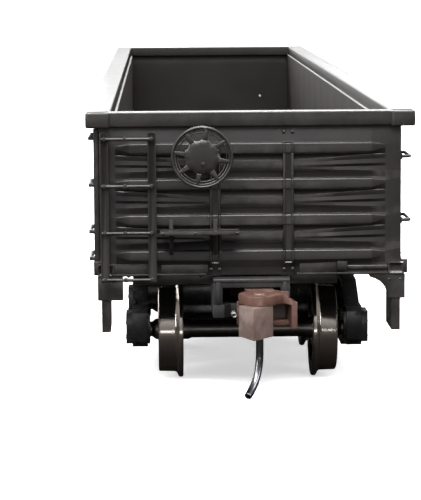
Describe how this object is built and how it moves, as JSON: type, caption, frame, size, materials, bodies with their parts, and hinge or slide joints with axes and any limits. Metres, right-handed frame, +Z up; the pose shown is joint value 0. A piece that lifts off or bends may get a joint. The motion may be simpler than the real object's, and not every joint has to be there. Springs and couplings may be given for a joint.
{
  "type": "model railway gondola car",
  "caption": "Open-top high-side gondola car for 16.5 mm gauge model track, with swivelling trucks, rolling wheelsets, swinging knuckle couplers and a hand brake wheel.",
  "frame": {"origin": "top of the rails, under the middle of the car", "axes": "+Z up, +Y along the car from the brake end to the plain end, +X across it"},
  "size_m": [0.035, 0.2032, 0.0308],
  "materials": {
    "body_black": "satin black moulded plastic",
    "frame_black": "satin black moulded plastic",
    "truck_black": "slightly glossy black engineering plastic",
    "coupler_brown": "reddish brown moulded plastic",
    "wheel_nickel": "turned and nickel plated",
    "axle_steel": "turned, darkened",
    "plated_steel": "plated",
    "trip_steel": "dark drawn wire"
  },
  "bodies": {
    "car": {"body_shell": "body_black", "load_floor": "body_black", "ballast_weight": "plated_steel", "underframe": "frame_black", "draft_gear_box_a": "frame_black", "draft_gear_box_b": "frame_black", "draft_gear_lid_a": "frame_black", "draft_gear_lid_b": "frame_black", "lid_screw_a": "plated_steel", "lid_screw_b": "plated_steel", "king_screw_a": "plated_steel", "king_screw_b": "plated_steel", "brake_housing": "body_black", "brake_step": "body_black", "end_ladder_a": "body_black", "end_ladder_b": "body_black", "side_ladder_a": "body_black", "side_ladder_b": "body_black", "side_grab_a_1": "body_black", "side_grab_a_2": "body_black", "side_grab_b_1": "body_black", "side_grab_b_2": "body_black", "stirrup_a_ladder": "body_black", "stirrup_a_grab": "body_black", "stirrup_b_ladder": "body_black", "stirrup_b_grab": "body_black", "brake_cylinder": "frame_black", "air_reservoir": "frame_black", "control_valve": "frame_black", "brake_rod": "frame_black"},
    "brake_wheel": {"brake_wheel": "body_black"},
    "truck_b": {"truck_b_bolster": "truck_black", "truck_b_sideframe_left": "truck_black", "truck_b_sideframe_right": "truck_black"},
    "wheelset_1": {"axle_1": "axle_steel", "wheel_1_left": "wheel_nickel", "wheel_1_right": "wheel_nickel"},
    "wheelset_2": {"axle_2": "axle_steel", "wheel_2_left": "wheel_nickel", "wheel_2_right": "wheel_nickel"},
    "coupler_b": {"coupler_b": "coupler_brown", "knuckle_spring_b": "plated_steel"},
    "knuckle_b": {"knuckle_b": "coupler_brown", "trip_pin_b": "trip_steel"},
    "truck_a": {"truck_a_bolster": "truck_black", "truck_a_sideframe_left": "truck_black", "truck_a_sideframe_right": "truck_black"},
    "wheelset_3": {"axle_3": "axle_steel", "wheel_3_left": "wheel_nickel", "wheel_3_right": "wheel_nickel"},
    "wheelset_4": {"axle_4": "axle_steel", "wheel_4_left": "wheel_nickel", "wheel_4_right": "wheel_nickel"},
    "coupler_a": {"coupler_a": "coupler_brown", "knuckle_spring_a": "plated_steel"},
    "knuckle_a": {"knuckle_a": "coupler_brown", "trip_pin_a": "trip_steel"}
  },
  "joints": [
    {"name": "truck_b_swivel", "type": "hinge", "parent": "car", "child": "truck_b", "pos_m": [0, -0.0701, 0.0093], "axis": [0, 0, 1], "range_deg": [-10, 10]},
    {"name": "wheelset_1_spin", "type": "hinge", "parent": "truck_b", "child": "wheelset_1", "pos_m": [0, -0.08, 0.00481], "axis": [1, 0, 0], "continuous": true},
    {"name": "wheelset_2_spin", "type": "hinge", "parent": "truck_b", "child": "wheelset_2", "pos_m": [0, -0.0602, 0.00481], "axis": [1, 0, 0], "continuous": true},
    {"name": "coupler_b_swing", "type": "hinge", "parent": "car", "child": "coupler_b", "pos_m": [0, -0.08905, 0.0105], "axis": [0, 0, 1], "range_deg": [-23.3, 4.7]},
    {"name": "knuckle_b_open", "type": "hinge", "parent": "coupler_b", "child": "knuckle_b", "pos_m": [0.00066, -0.09806, 0.009], "axis": [0, 0, -1], "range_deg": [0, 20], "stiffness_Nm_per_rad": 0.00002},
    {"name": "truck_a_swivel", "type": "hinge", "parent": "car", "child": "truck_a", "pos_m": [0, 0.0701, 0.0093], "axis": [0, 0, 1], "range_deg": [-10, 10]},
    {"name": "wheelset_3_spin", "type": "hinge", "parent": "truck_a", "child": "wheelset_3", "pos_m": [0, 0.0602, 0.00481], "axis": [1, 0, 0], "continuous": true},
    {"name": "wheelset_4_spin", "type": "hinge", "parent": "truck_a", "child": "wheelset_4", "pos_m": [0, 0.08, 0.00481], "axis": [1, 0, 0], "continuous": true},
    {"name": "coupler_a_swing", "type": "hinge", "parent": "car", "child": "coupler_a", "pos_m": [0, 0.08905, 0.0105], "axis": [0, 0, 1], "range_deg": [-14, 14]},
    {"name": "knuckle_a_open", "type": "hinge", "parent": "coupler_a", "child": "knuckle_a", "pos_m": [0.0008, 0.09805, 0.009], "axis": [0, 0, -1], "range_deg": [0, 20], "stiffness_Nm_per_rad": 0.00002},
    {"name": "brake_wheel_turn", "type": "hinge", "parent": "car", "child": "brake_wheel", "pos_m": [-0.0052, -0.0949, 0.02556], "axis": [0, -1, 0], "continuous": true}
  ]
}
